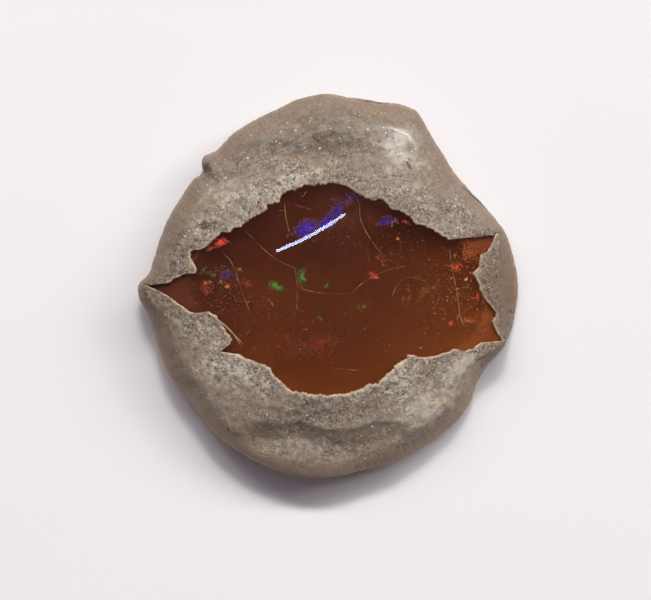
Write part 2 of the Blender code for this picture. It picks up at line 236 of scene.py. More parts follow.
# The play of colour is painted light: its flecks glow by emission.
# Play of colour: where, half-lengths, turn in degrees, how many flecks, their size, colour, strength.
FLASHES = (
    ((-1.85, 4.75), (0.85, 0.5), 22, 260, 0.2, "violet", 0.9),
    ((-0.1, 5.3), (0.8, 0.45), 40, 190, 0.19, "violet", 0.75),
    ((0.7, 6.2), (0.7, 0.4), 45, 130, 0.16, "violet", 0.5),
    ((1.7, 7.2), (0.9, 0.45), 20, 80, 0.12, "violet", 0.22),
    ((4.8, 5.35), (0.75, 0.3), 8, 110, 0.17, "violet", 0.4),
    ((-8.6, 0.9), (0.6, 0.5), 0, 100, 0.17, "violet", 0.19),
    ((-4.35, -0.05), (0.62, 0.3), -32, 50, 0.14, "green", 1.0),
    ((-2.2, 0.7), (0.42, 0.75), 0, 60, 0.13, "green", 0.62),
    ((-0.25, -0.05), (0.3, 0.2), 0, 16, 0.1, "green", 0.6),
    ((-0.7, -2.7), (0.22, 0.26), 0, 14, 0.1, "green", 0.6),
    ((-10.4, 1.3), (0.3, 0.16), 40, 16, 0.1, "green", 0.4),
    ((-9.7, 0.95), (0.5, 0.16), -22, 20, 0.1, "green", 0.45),
    ((11.6, -0.05), (0.2, 0.16), 0, 12, 0.09, "green", 0.6),
    ((12.9, -1.3), (0.3, 0.3), 0, 16, 0.08, "green", 0.3),
    ((-8.95, 3.6), (0.62, 0.26), 12, 60, 0.15, "red", 1.0),
    ((-9.8, 3.05), (0.4, 0.2), 10, 20, 0.12, "crimson", 0.8),
    ((3.8, 0.8), (0.5, 0.28), -35, 44, 0.13, "red", 0.75),
    ((10.65, 1.5), (0.42, 0.26), 0, 36, 0.12, "red", 0.65),
    ((10.2, -3.15), (0.24, 0.26), 0, 22, 0.11, "red", 0.75),
    ((11.5, -2.95), (0.5, 0.2), 0, 30, 0.1, "orange", 0.6),
    ((-10.2, 0.2), (0.5, 0.2), 10, 26, 0.1, "orange", 1.0),
    ((-10.1, -0.4), (0.4, 0.3), 0, 26, 0.11, "red", 0.6),
    ((-8.9, 0.35), (0.2, 0.2), 0, 14, 0.1, "yellow", 0.8),
    ((-8.4, -0.1), (0.28, 0.22), -30, 22, 0.1, "orange", 0.9),
    ((-7.35, 1.3), (0.34, 0.2), -30, 18, 0.09, "orange", 0.6),
    ((-6.9, 0.25), (0.6, 0.26), -10, 40, 0.12, "crimson", 0.8),
    ((-4.7, -1.5), (0.3, 0.2), 0, 14, 0.11, "red", 0.5),
    ((6.6, -0.35), (0.26, 0.16), 0, 12, 0.08, "olive", 0.9),
    ((8.0, -0.5), (0.34, 0.26), 0, 22, 0.09, "olive", 1.2),
    ((8.75, -0.2), (0.18, 0.12), 0, 8, 0.08, "olive", 1.1),
    ((6.2, -1.15), (0.14, 0.36), 0, 12, 0.08, "olive", 0.9),
    ((6.7, -1.1), (0.2, 0.18), 0, 12, 0.09, "red", 0.6),
    ((5.7, 1.45), (0.12, 0.18), 0, 10, 0.07, "green", 0.5),
    ((10.9, -2.6), (0.2, 0.2), 0, 12, 0.08, "orange", 0.8),
    ((-3.5, -4.3), (0.4, 0.3), 0, 26, 0.1, "crimson", 0.7),
    ((2.8, -1.75), (0.55, 0.26), 0, 26, 0.09, "olive", 1.0),
    ((3.1, -3.6), (0.26, 0.16), 0, 10, 0.09, "olive", 0.6),
    ((1.45, -2.3), (0.14, 0.1), 0, 6, 0.08, "orange", 0.8),
    ((5.8, 3.85), (0.22, 0.14), -30, 12, 0.08, "orange", 1.0),
    ((4.4, 2.2), (0.7, 0.4), -30, 60, 0.12, "crimson", 0.45),
    ((11.8, 2.8), (1.0, 0.6), 0, 90, 0.12, "crimson", 0.36),
    ((12.4, -0.9), (0.4, 0.4), 0, 30, 0.1, "crimson", 0.9),
    ((6.4, 5.3), (0.3, 0.16), -30, 16, 0.1, "crimson", 0.8),
    ((-0.7, -4.8), (1.6, 0.5), 8, 130, 0.12, "crimson", 0.55),
    ((-2.6, -5.6), (1.2, 0.5), 0, 70, 0.12, "crimson", 0.3),
    # Painted highlights: white glints on the polished face, made as glowing flecks.
    ((11.47, 0.52), (0.16, 0.1), 30, 12, 0.1, "painted_glint", 1.7),
    ((10.3, 0.67), (0.06, 0.12), 0, 5, 0.06, "painted_glint", 0.6),
    ((10.15, 2.6), (0.05, 0.3), 10, 7, 0.05, "painted_glint", 0.45),
    ((12.1, -2.95), (0.05, 0.12), -20, 5, 0.06, "painted_glint", 0.55),
    ((7.7, -5.2), (0.18, 0.06), 0, 9, 0.07, "painted_glint", 0.9),
    ((13.1, -3.7), (0.3, 0.1), 35, 12, 0.08, "painted_glint", 0.3),
    ((4.1, -4.5), (0.14, 0.08), -30, 6, 0.06, "painted_glint", 0.3),
    ((-2.4, -5.3), (0.1, 0.06), 0, 7, 0.07, "painted_glint", 0.8),
    ((-5.0, -5.0), (0.12, 0.05), 0, 6, 0.06, "painted_glint", 0.5),
    ((-1.4, 6.3), (0.05, 0.04), 0, 3, 0.05, "painted_glint", 0.5),
    ((1.85, 4.85), (0.05, 0.05), 0, 3, 0.05, "painted_glint", 0.35),
    ((0.6, 3.3), (0.04, 0.12), 0, 4, 0.05, "painted_glint", 0.25),
)
# Fine specks that are scattered through wider areas: where, half-lengths, how many, size, colours, strength.
SPECKLES = (
    ((9.6, -0.8), (3.4, 3.4), 330, 0.06, ("red", "orange", "yellow", "olive", "green", "painted_glint"), 0.5),
    ((-8.8, -0.9), (2.2, 2.4), 170, 0.06, ("red", "orange", "yellow", "green"), 0.55),
    ((-5.4, -1.6), (2.4, 1.4), 130, 0.06, ("red", "crimson", "orange", "olive"), 0.5),
    ((1.0, -1.6), (8.0, 2.2), 260, 0.055, ("red", "orange", "olive", "green"), 0.42),
    ((1.2, 3.0), (1.6, 1.9), 130, 0.05, ("crimson", "painted_glint", "violet"), 0.34),
    ((5.4, 3.0), (3.4, 1.8), 110, 0.055, ("red", "orange", "olive", "crimson"), 0.4),
    ((-1.4, -5.2), (4.2, 1.6), 150, 0.06, ("crimson", "red"), 0.5),
    ((12.0, 2.2), (1.4, 1.4), 80, 0.06, ("red", "orange", "crimson"), 0.5),
)
# The light of each colour, painted light that the flecks glow with, as linear red, green and blue.
FLECK_COLOURS = {
    "violet": (0.062, 0.005, 0.54),
    "green": (0.055, 0.46, 0.012),
    "red": (1.30, 0.070, 0.018),
    "orange": (1.15, 0.27, 0.010),
    "yellow": (0.80, 0.36, 0.008),
    "olive": (0.34, 0.31, 0.006),
    "crimson": (0.42, 0.018, 0.006),
    "painted_glint": (0.75, 0.62, 0.54),
}
SOFT_COLOURS = ("violet", "crimson")  # these blur together, and the others break up into flecks
COOL_COLOURS = ("violet", "green")  # these show no brown where they glow
FLECK_DEPTH = (0.1, 0.32)  # how far under the opal's face they lie
FLECK_LEAN = 0.2  # their steepest slope
FLECK_MARGIN = 0.12  # how far they keep from the window's edge

# Hair cracks in the opal's surface, and two fibres of lint that lie over the window's edge.
CRACKS = (
    ((-6.9, 4.5), (-4.7, 2.4), (-2.8, 1.4)),
    ((-2.8, 1.4), (-2.6, 0.0), (-2.6, -1.0), (-2.9, -3.9)),
    ((-2.6, -0.2), (-0.7, -0.6), (1.9, -0.7)),
    ((1.9, -0.7), (3.0, 0.3), (5.0, 1.3), (6.4, 1.6)),
    ((5.3, -1.0), (5.7, 0.0), (6.7, 0.7), (8.2, 0.3)),
    ((2.6, 6.9), (2.7, 5.4), (3.7, 3.5), (4.6, 2.5)),
    ((-8.9, 2.9), (-7.9, 1.6), (-7.2, -0.5), (-6.6, -2.1)),
    ((-3.7, 6.9), (-3.5, 5.4), (-3.2, 4.2)),
    ((-5.0, 6.2), (-3.5, 6.2)),
    ((-2.9, 6.7), (-1.4, 6.3)),
    ((-2.6, 8.0), (-2.2, 7.4), (-1.8, 7.9)),
    ((10.1, 3.0), (10.3, 1.5), (10.7, -0.5), (11.1, -2.9), (11.7, -3.9), (11.4, -4.8)),
    ((9.0, -4.2), (9.4, -4.7), (9.8, -4.4)),
    ((0.5, -6.9), (2.7, -7.1)),
    ((-6.8, -4.2), (-6.2, -2.9)),
)
CRACK_RADIUS = 0.03
FIBRES = (
    ((-10.3, -2.1), (-8.5, -3.5), (-7.1, -4.9)),
    ((-10.1, -2.2), (-8.3, -3.6), (-7.3, -5.0)),
)
FIBRE_RADIUS = 0.025
FIBRE_LIFT = 0.25

# The rock's colours as they look, each laid over the ones before it. Those for the far side, the near rim,
# the ledge and the highlight are painted shade and light.
ROCK_COLOURS = {
    "brown": (102, 84, 67), "grey": (140, 124, 108), "chalk": (193, 182, 164), "far side": (88, 73, 58),
    "ochre tint": (136, 117, 84), "grey tint": (150, 146, 138), "rim": (128, 108, 91),
    "brown end": (126, 95, 69), "worn edge": (166, 136, 112), "streak": (106, 91, 77),
    "dark grain": (66, 56, 50), "pale grain": (222, 215, 203), "pit": (50, 43, 40), "mark": (52, 50, 54),
    "lip": (204, 178, 150), "rust": (200, 126, 90), "ledge_shade": (74, 60, 48), "near rim": (186, 160, 138),
    "crystal": (236, 231, 222), "painted highlight": (236, 229, 219),
}
# Where some of them lie, the painted highlight among them, and where the rock is polished: centre and reach.
RUST = (-13.3, -6.4, 1.5), 3.4
BROWN_ENDS = ((15.4, -0.5, 2.0), 6.5), ((-15.6, -1.0, 2.0), 4.5)
PAINTED_HIGHLIGHT = (5.8, 12.1, 4.8), 1.5
POLISH = (6.2, 12.2, 4.7), 3.2
# And the skin of the pocket: a paler place at its far side, which is painted light, and a darker one in the
# blunt end's corner.
POCKET_PAINTED_LIGHT = (2.0, 6.8, 4.4), 4.5
POCKET_DARK = (12.8, 3.8, 4.5), 3.0

# The camera, over the point of the stone that is in the middle of the photograph.
IMAGE_WIDTH = 651
PHOTO_SCALE = 0.084  # millimetres to one pixel, in the outline's plane
OUTLINE_HEIGHT = 2.5  # of that plane
CAMERA_HEIGHT = 500.0
CAMERA_OVER = (-0.25, -1.22)
CAMERA_CLIP = (0.01, 10.0)  # metres
SENSOR = 36.0

# The lamps, all laid along X: where and how large, in metres, and their watts. A long tube over the far side
# reaches to the right, with a small lamp just before it and soft ones to its right and left.
LAMPS = {
    "tube": ((0.7, 0.70, 0.89), (2.4, 0.13), 15.9),
    "core": ((0.0, 0.69, 0.885), (0.2, 0.12), 4.4),
    "right": ((0.85, 0.34, 0.77), (0.5, 0.2), 2.2),
    "left": ((-0.62, 0.70, 0.72), (0.4, 0.2), 1.2),
}
LAMP_COLOUR = (1.0, 0.985, 0.95)
AIM_HEIGHT = 0.006  # metres over the table
ROOM_FAR = (0.19, 0.168, 0.215)
ROOM_NEAR = (0.085, 0.066, 0.068)
# Small lamps, end to end, which the camera sees mirrored in the polished dome along this line.
STREAK = ((-4.5, 2.9), (-2.4, 3.8), (-0.9, 4.6), (0.55, 5.5), (1.4, 6.1))
STREAK_WIDTH = 0.27
STREAK_DISTANCE = 0.6  # metres
STREAK_RADIANCE = 28.0
STREAK_COLOUR = (0.58, 0.66, 1.0)
TABLE_HALF = 1500.0


def smoothstep(value):
    value = np.clip(value, 0.0, 1.0)
    return value * value * (3.0 - 2.0 * value)


def radius_through(points, angles):
    """The radius at each angle of the closed outline through points, which must see the origin."""
    x, y = np.array(points).T
    return np.interp(angles, np.arctan2(y, x), np.hypot(x, y), period=2.0 * math.pi)


def smooth_through(at, values, angles):
    """A smooth closed curve of values over the angle, through the values that are known at some angles."""
    order = np.argsort(at)
    at, values = at[order], values[order]
    at = np.concatenate([at[-2:] - 2.0 * math.pi, at, at[:2] + 2.0 * math.pi])
    values = np.concatenate([values[-2:], values, values[:2]])
    slope = np.gradient(values, at)
    i = np.clip(np.searchsorted(at, angles) - 1, 0, len(at) - 2)
    step = at[i + 1] - at[i]
    t = (angles - at[i]) / step
    start = (1.0 + 2.0 * t) * (1.0 - t) ** 2 * values[i] + t * (1.0 - t) ** 2 * step * slope[i]
    end = t**2 * (3.0 - 2.0 * t) * values[i + 1] + t**2 * (t - 1.0) * step * slope[i + 1]
    return start + end


def round_the_side(stations, angles):
    """A quantity that is given at some angles in degrees, carried smoothly round the stone."""
    degrees, values = np.array(stations, dtype=float).T
    return smooth_through(np.radians((degrees + 180.0) % 360.0 - 180.0), values, angles)


def rounded_radius(angles):
    """The stone's outline as a smooth curve through its points."""
    x, y = np.array(OUTLINE).T
    return smooth_through(np.arctan2(y, x), np.hypot(x, y), angles)


def even_radius(radius_at, angles):
    """The radius that radius_at gives, averaged over the directions near each angle."""
    turns = np.radians(np.linspace(-EVEN_TURN, EVEN_TURN, EVEN_SAMPLES))
    weights = 1.0 + np.cos(np.linspace(-math.pi, math.pi, EVEN_SAMPLES))
    around = [radius_at((angles + t + math.pi) % (2.0 * math.pi) - math.pi) for t in turns]
    return np.average(around, axis=0, weights=weights)


def window_radius(angles):
    """The window's edge, without its fine fraying."""
    return radius_through(WINDOW, angles)


def face_height(radius, angles, outline):
    """The ground dome with its rolled edge, which is upright at the outline, or slopes where it is thin."""
    off_top = radius**2 - 2.0 * TOP_AT * radius * np.cos(angles) + TOP_AT**2
    dome = TOP_HEIGHT - off_top / (2.0 * DOME_RADIUS)
    into_edge = np.clip(1.0 - (outline - radius) / round_the_side(ROLL, angles), 0.0, 1.0)
    upright = 1.0 - np.sqrt(1.0 - into_edge**2)
    drop = upright + (into_edge**2 - upright) * round_the_side(THIN, angles)
    return dome - (dome - round_the_side(GIRTH, angles)) * drop


def middle_height():
    """The dome's height on the axis."""
    return TOP_HEIGHT - TOP_AT**2 / (2.0 * DOME_RADIUS)


def ledge_line(angles, window, outline):
    """The radius of the ledge, carried on round the rock, and its strength, 0 away from the ledge."""
    x, y = np.array(LEDGE).T
    at, radius = np.arctan2(y, x), np.hypot(x, y)
    strength = smoothstep((angles - at[0]) / LEDGE_FADE) * smoothstep((at[-1] - angles) / LEDGE_FADE)
    elsewhere = np.maximum(window + 0.4 * (outline - window), 0.86 * outline)
    line = elsewhere + (np.interp(angles, at, radius) - elsewhere) * strength
    return line, strength


def ledge_drop(radius, line, strength):
    """How far the rock lies under the dome beyond the ledge."""
    down = smoothstep((radius - line) / LEDGE_FACE)
    back = 1.0 - smoothstep((radius - line - LEDGE_FACE) / LEDGE_RUN)
    return LEDGE_DROP * strength * down * back


def hollow_depth(x, y):
    depth = np.zeros_like(x)
    for (centre_x, centre_y), (half_x, half_y), deepest in HOLLOWS:
        away = ((x - centre_x) / half_x) ** 2 + ((y - centre_y) / half_y) ** 2
        depth += deepest * smoothstep(1.0 - away)
    return depth


def pocket_height(radius, angles, outline):
    """The pocket's floor: a smooth bowl under the dome, whatever the window's small corners."""
    share = np.clip(radius / even_radius(window_radius, angles), 0.0, 1.0)
    depth = POCKET_EDGE + POCKET_BOWL * (1.0 - share**POCKET_ROUND) ** POCKET_STEEP
    return face_height(radius, angles, outline) - depth


def ring(radius, height, angles):
    """One ring of points, as rows of x, y and z."""
    return np.stack([radius * np.cos(angles), radius * np.sin(angles), height + 0.0 * angles], axis=1)


def cut_chips(points):
    """Presses every point that lies beyond a chip's plane back onto it."""
    for azimuth, elevation, distance in CHIPS:
        a, e = math.radians(azimuth), math.radians(elevation)
        normal = np.array([math.cos(a) * math.cos(e), math.sin(a) * math.cos(e), math.sin(e)])
        beyond = np.clip(points @ normal - distance, 0.0, None)
        points = points - np.outer(beyond, normal)
    return points


def lump(points):
    """Low natural swellings of the nodule, from -1 to 1."""
    return np.array([noise.noise(Vector(p / LUMP_LENGTH)) for p in points])


def into_patch(x, y, centre, halves, turn):
    """A place measured along and across a turned patch, in its half-lengths."""
    c, s = math.cos(math.radians(turn)), math.sin(math.radians(turn))
    x, y = x - centre[0], y - centre[1]
    return (c * x + s * y) / halves[0], (c * y - s * x) / halves[1]


def patches(x, y, spots):
    """The sum of soft patches: each has a centre, half-lengths, a turn in degrees and a strength."""
    total = np.zeros_like(x)
    for *patch, strength in spots:
        along, across = into_patch(x, y, *patch)
        total += strength * np.exp(-(along**2 + across**2))
    return total


def grain(points, length, octaves=3, shift=0.0):
    """Fractal noise over points, about -1 to 1, with features of the given length."""
    offset = Vector((shift, 2.0 * shift, -shift))
    return np.array([noise.fractal(Vector(p / length) + offset, 0.8, 2.1, octaves) for p in points])


# ---- Meshes ----


def join_rings(rings, first_pole, last_pole):
    """Points and faces of a closed skin through rings of equal count, drawn together at both ends."""
    count = len(rings[0])
    points = np.concatenate([*rings, [first_pole], [last_pole]])
    here = np.arange(count)
    after = (here + 1) % count
    band = np.stack([here, here + count, after + count, after], axis=1)
    faces = [face for k in range(len(rings) - 1) for face in (band + k * count).tolist()]
    pole = len(points) - 2
    last = pole - count
    faces += [(pole, int(i), int(j)) for i, j in zip(here, after)]
    faces += [(pole + 1, int(last + j), int(last + i)) for i, j in zip(here, after)]
    return points, faces


def add_object(name, data):
    made = bpy.data.objects.new(name, data)
    bpy.context.scene.collection.objects.link(made)
    return made


def make_piece(name, points, faces, materials, smooth=True):
    """A mesh object whose faces look outwards."""
    mesh = bpy.data.meshes.new(name)
    mesh.from_pydata((np.asarray(points) * MM).tolist(), [], faces)
    mesh.validate()
    turned = bmesh.new()
    turned.from_mesh(mesh)
    bmesh.ops.recalc_face_normals(turned, faces=turned.faces)
    turned.to_mesh(mesh)
    turned.free()
    for material in materials:
        mesh.materials.append(material)
    if smooth:
        mesh.shade_smooth()
    return add_object(name, mesh)


def give_values(piece, name, values):
    """Stores a number or a vector for each point of a mesh, for its material to read."""
    values = np.asarray(values, dtype=np.float32)
    kind, field = ("FLOAT", "value") if values.ndim == 1 else ("FLOAT_VECTOR", "vector")
    piece.data.attributes.new(name, kind, "POINT").data.foreach_set(field, values.ravel())


def ragged_window(angles):
    """The window's edge with its fine fraying."""
    radius = window_radius(angles)
    edge = ring(radius, 0.0, angles)
    return radius + 0.1 * grain(edge, 0.55) + 0.09 * grain(edge, 0.2, 2, 7.0)


def roughness_of_rock(points, inward):
    """0 where the rock is smooth, up to 1 where it is pitted."""
    border = smoothstep((3.4 + 2.2 * grain(points, 2.6, 2, 13.0) - inward) / 2.6)
    return np.clip(border + patches(points[:, 0], points[:, 1], ROUGH), 0.0, 1.0)


def rock_relief(points, inward, outward):
    """How far the rock's weathered skin stands off the smooth dome."""
    away = smoothstep(inward / 0.8)
    rough = roughness_of_rock(points, inward) * smoothstep(outward / 1.4)
    swell = 0.13 * grain(points, 3.2, 3, 3.0) * away
    pits = -0.26 * np.clip(grain(points, 0.5, 3, 11.0) - 0.25, 0.0, 1.0) * rough * smoothstep(inward / 0.3)
    tooth = 0.035 * grain(points, 0.34, 3, 5.0) * (0.2 + 0.8 * rough) * smoothstep(inward / 0.2)
    return swell + pits + tooth


def frayed_outline(angles):
    """The stone's outline with its fine fraying, which only cuts into it."""
    outline = rounded_radius(angles)
    edge = ring(outline, 0.0, angles)
    fray = 0.05 * grain(edge, 0.9, 3, 1.0) + 0.03 * grain(edge, 0.3, 3, 4.0)
    return outline - np.clip(0.03 - fray, 0.0, None)


def painted_ledge_shade(beyond, strength):
    """Painted shade: 1 along the ledge, and fading to both sides of it."""
    return strength * np.exp(-((beyond / np.where(beyond < 0.0, PAINTED_SHADE_ABOVE, PAINTED_SHADE_BELOW)) ** 2))


def side_ring(turn, outline, even, girth_height, angles):
    """One ring of the side, from the widest line (turn 0) to the resting face's edge (a quarter turn)."""
    girth = outline + (even - outline) * math.sin(turn)
    reach = REST_RADIUS + (girth - REST_RADIUS) * math.cos(turn)
    points = ring(reach, girth_height * (1 - math.sin(turn)), angles)
    swell = 1.0 + UNDERSIDE_LUMPS * math.sin(2 * turn) ** 2 * lump(points) / outline
    rough = 0.12 * grain(points, 1.3, 4, 21.0) * math.sin(2 * turn)
    points[:, :2] *= (swell + rough / outline)[:, None]
    points = cut_chips(points)
    points[:, 2] = np.clip(points[:, 2], 0.0, None)
    return points


def round_the_stone(points):
    """Places for a texture whose grain runs round the stone: it is finer outwards than along the rim."""
    radius = np.hypot(points[:, 0], points[:, 1])
    around = points.copy()
    around[:, :2] *= GRAIN_RADIUS / np.maximum(radius, 0.01)[:, None]
    around[:, 2] = radius * GRAIN_SQUEEZE + points[:, 2]
    return around


def build_rock(material, pocket_material, box):
    """The rock, from its pocket's middle out over the face and down the side, kept inside the box."""
    angles = np.linspace(-math.pi, math.pi, ROCK_SPOKES, endpoint=False)
    outline = frayed_outline(angles)
    window = ragged_window(angles)
    even_window = even_radius(window_radius, angles)
    line, strength = ledge_line(angles, window, outline)
    line = line + 0.16 * grain(ring(line, 0.0, angles), 1.4, 3, 9.0)
    rings, inward, outward, ledge_shade = [], [], [], []

    def add(points, inner, outer, ledge_shaded=0.0):
        rings.append(points)
        inward.append(inner + 0.0 * angles)
        outward.append(outer + 0.0 * angles)
        ledge_shade.append(ledge_shaded + 0.0 * angles)

    for k in range(1, POCKET_RINGS + 1):
        share = math.sin(math.pi / 2 * k / POCKET_RINGS)
        radius = even_window * share + (window - even_window) * share**5
        add(ring(radius, pocket_height(radius, angles, outline), angles), IN_POCKET, FAR_FROM_RIM)
    for k in range(FACE_RINGS + 1):
        radius = window + (outline - window) * math.sin(math.pi / 2 * k / FACE_RINGS)
        points = ring(radius, face_height(radius, angles, outline), angles)
        drop = ledge_drop(radius, line, strength)
        hollow = hollow_depth(points[:, 0], points[:, 1])
        relief = LIP * smoothstep((radius - window) / 0.2 + 0.35) - drop - hollow
        relief = relief + rock_relief(points, radius - window, outline - radius)
        points[:, 2] += relief * smoothstep((outline - radius) / RELIEF_EDGE)
        # Painted shade along the ledge and under it, for the rock's colour.
        ledge_shaded = painted_ledge_shade(radius - line, strength)
        add(cut_chips(points), radius - window, outline - radius, ledge_shaded)
    even = even_radius(rounded_radius, angles)
    girth_height = round_the_side(GIRTH, angles)
    for k in range(1, SIDE_RINGS + 1):
        turn = math.pi / 2 * k / SIDE_RINGS
        add(side_ring(turn, outline, even, girth_height, angles), FAR_FROM_WINDOW, 0.0)
    rings[-1][:, 2] = 0.0
    for k in range(1, BASE_RINGS):
        add(rings[-1] * (1.0 - k / BASE_RINGS), FAR_FROM_WINDOW, 0.0)
    pocket_pole = (0.0, 0.0, middle_height() - POCKET_EDGE - POCKET_BOWL)
    points, faces = join_rings(rings, pocket_pole, (0.0, 0.0, 0.0))
    points = np.clip(points, *(np.array(box) / MM))
    rock = make_piece("rock", points, faces, [material, pocket_material])
    x, y, z = points.T
    inward = np.concatenate([*inward, [IN_POCKET, FAR_FROM_WINDOW]])
    above_girth = smoothstep(2.0 * z / round_the_side(GIRTH, np.arctan2(y, x)) - 1.0)
    give_values(rock, "inward", inward)
    give_values(rock, "outward", np.concatenate([*outward, [FAR_FROM_RIM, 0.0]]))
    give_values(rock, "ledge_shade", np.concatenate([*ledge_shade, [0.0, 0.0]]))
    give_values(rock, "tone", patches(x, y, TONES))
    give_values(rock, "mark", patches(x, y, MARKS) * above_girth)
    give_values(rock, "rough", roughness_of_rock(points, inward))
    give_values(rock, "streak", round_the_stone(points))
    skin = np.zeros(len(faces), dtype=np.int32)
    skin[:POCKET_RINGS * ROCK_SPOKES] = 1
    skin[-2 * ROCK_SPOKES:-ROCK_SPOKES] = 1
    rock.data.polygons.foreach_set("material_index", skin)
    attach(rock, "root")
    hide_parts("host_rock")


def build_opal(material):
    """The opal, from its lowest point up the pocket's bowl and back over the dome."""
    angles = np.linspace(-math.pi, math.pi, OPAL_SPOKES, endpoint=False)
    outline = rounded_radius(angles)
    window = ragged_window(angles)
    rim = np.minimum(window + OPAL_TUCK, outline - OPAL_INSIDE)
    rim_height = np.minimum(face_height(rim, angles, outline), face_height(window, angles, outline))
    rings = []
    for k in range(1, OPAL_BOWL_RINGS + 1):
        radius = rim * math.sin(math.pi / 2 * k / OPAL_BOWL_RINGS)
        rings.append(ring(radius, pocket_height(radius, angles, outline) - OPAL_TUCK, angles))
    for k in range(OPAL_DOME_RINGS, 0, -1):
        share = k / OPAL_DOME_RINGS
        height = face_height(rim * share, angles, outline)
        rings.append(ring(rim * share, rim_height if k == OPAL_DOME_RINGS else height, angles))
    top = middle_height()
    bottom = top - POCKET_EDGE - POCKET_BOWL - OPAL_TUCK
    points, faces = join_rings(rings, (0.0, 0.0, bottom), (0.0, 0.0, top))
    opal = make_piece("opal_body", points, faces, [material])
    opal.data.set_sharp_from_angle(angle=math.radians(35))
    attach(opal, "root")
    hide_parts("opal")


def surface_height(x, y):
    """The height of the opal's polished face, or of the plain dome of the rock beyond it."""
    angle = np.array([math.atan2(y, x)])
    return float(face_height(np.array([math.hypot(x, y)]), angle, rounded_radius(angle))[0])


def in_window(x, y, margin):
    """Whether a place lies in the window, and at least margin from its edge."""
    angle = np.array([math.atan2(y, x)])
    return math.hypot(x, y) < float(window_radius(angle)[0]) - margin


class Flecks:
    """The opal's play of colour, as thin flecks a few tenths of a millimetre under its face, which glow as
    painted light.
    """

    def __init__(self):
        self.rng = random.Random(11)
        self.points, self.faces, self.slots, self.glows = [], [], [], []

    def add(self, x, y, size, colour, glow_at):
        """One fleck of a few corners. glow_at gives its brightness at a place."""
        if not in_window(x, y, FLECK_MARGIN):
            return
        rng = self.rng
        lean_x, lean_y = rng.uniform(-FLECK_LEAN, FLECK_LEAN), rng.uniform(-FLECK_LEAN, FLECK_LEAN)
        first = len(self.points)
        corners = rng.randint(5, 7)
        start = rng.uniform(0.0, math.tau)
        stretch = rng.uniform(0.6, 1.0)
        height = surface_height(x, y) - rng.uniform(*FLECK_DEPTH)
        for i in range(corners):
            angle = start + math.tau * i / corners
            reach = size * rng.uniform(0.6, 1.1)
            dx = reach * math.cos(angle)
            dy = reach * math.sin(angle) * stretch
            self.points.append((x + dx, y + dy, height + dx * lean_x + dy * lean_y))
            self.glows.append(glow_at(x + dx, y + dy))
        self.faces.append(tuple(range(first, first + corners)))
        self.slots.append(list(FLECK_COLOURS).index(colour))

    def flash(self, centre, halves, turn, count, size, colour, strength):
        """A patch of one colour, which glows in its middle and fades outwards."""
        rng = self.rng
        c, s = math.cos(math.radians(turn)), math.sin(math.radians(turn))
        least = 0.85 if colour in SOFT_COLOURS else 0.4
        for _ in range(count):
            along, across = rng.gauss(0.0, 0.6), rng.gauss(0.0, 0.6)
            x = centre[0] + c * along * halves[0] - s * across * halves[1]
            y = centre[1] + s * along * halves[0] + c * across * halves[1]
            share = strength * rng.uniform(least, 1.0)

            def glow_at(at_x, at_y):
                u, v = into_patch(at_x, at_y, centre, halves, turn)
                return share * math.exp(-1.3 * (u * u + v * v))

            self.add(x, y, size * rng.uniform(0.5, 1.1), colour, glow_at)

    def speckle(self, centre, halves, count, size, colours, strength):
        """Fine specks scattered widely, few of them bright."""
        rng = self.rng
        for _ in range(count):
            x = centre[0] + rng.gauss(0.0, 0.5) * halves[0]
            y = centre[1] + rng.gauss(0.0, 0.5) * halves[1]
            glow = strength * (0.08 + 0.92 * rng.random() ** 2.0)
            self.add(x, y, size * rng.uniform(0.5, 1.5), rng.choice(colours), lambda at_x, at_y: glow)


def build_flecks(materials):
    flecks = Flecks()
    for flash in FLASHES:
        flecks.flash(*flash)
    for speckle in SPECKLES:
        flecks.speckle(*speckle)
    piece = make_piece("play_of_colour", flecks.points, flecks.faces, materials, smooth=False)
    piece.data.polygons.foreach_set("material_index", flecks.slots)
    give_values(piece, "glow", flecks.glows)
    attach(piece, "root")


def smooth_route(route, step):
    """Points along a Catmull-Rom curve through route, about step apart."""
    padded = [2 * Vector(route[0]) - Vector(route[1]), *map(Vector, route)]
    padded.append(2 * Vector(route[-1]) - Vector(route[-2]))
    found = []
    for a, b, c, d in zip(padded, padded[1:], padded[2:], padded[3:]):
        count = max(2, round((c - b).length / step))
        for i in range(count):
            t = i / count
            found.append(0.5 * (2 * b + (c - a) * t + (2 * a - 5 * b + 4 * c - d) * t**2
                                + (3 * b - a - 3 * c + d) * t**3))
    found.append(Vector(route[-1]))
    return found


def thread(points, faces, route, radius, sides=6):
    """Adds a thin tube along a route, tapered at both ends."""
    first = len(points)
    count = len(route)
    for k, at in enumerate(route):
        ahead = (route[min(k + 1, count - 1)] - route[max(k - 1, 0)]).normalized()
        side = ahead.cross(Vector((0, 0, 1))).normalized()
        up = side.cross(ahead)
        taper = min(1.0, 0.25 + 0.35 * min(k, count - 1 - k))
        for i in range(sides):
            angle = math.tau * i / sides
            p = at + radius * taper * (math.cos(angle) * side + math.sin(angle) * up)
            points.append(tuple(p))
    for k in range(count - 1):
        for i in range(sides):
            j = (i + 1) % sides
            a, b = first + k * sides, first + (k + 1) * sides
            faces.append((a + i, a + j, b + j, b + i))
    faces.append(tuple(first + i for i in reversed(range(sides))))
    faces.append(tuple(first + (count - 1) * sides + i for i in range(sides)))


def build_threads(name, routes, radius, lift, material, step=0.25, wander=0.05):
    """One piece of thin tubes that follow the routes over the stone, lift over its dome."""
    points, faces = [], []
    for n, route in enumerate(routes):
        draped = []
        for p in smooth_route([(x, y, 0.0) for x, y in route], step):
            shake = noise.noise_vector(Vector((p.x * 1.3, p.y * 1.3, n)))
            x, y = p.x + wander * shake.x, p.y + wander * shake.y
            draped.append(Vector((x, y, surface_height(x, y) + lift)))
        thread(points, faces, draped, radius)
    piece = make_piece(name, points, faces, [material])
    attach(piece, "root")


# ---- Materials ----


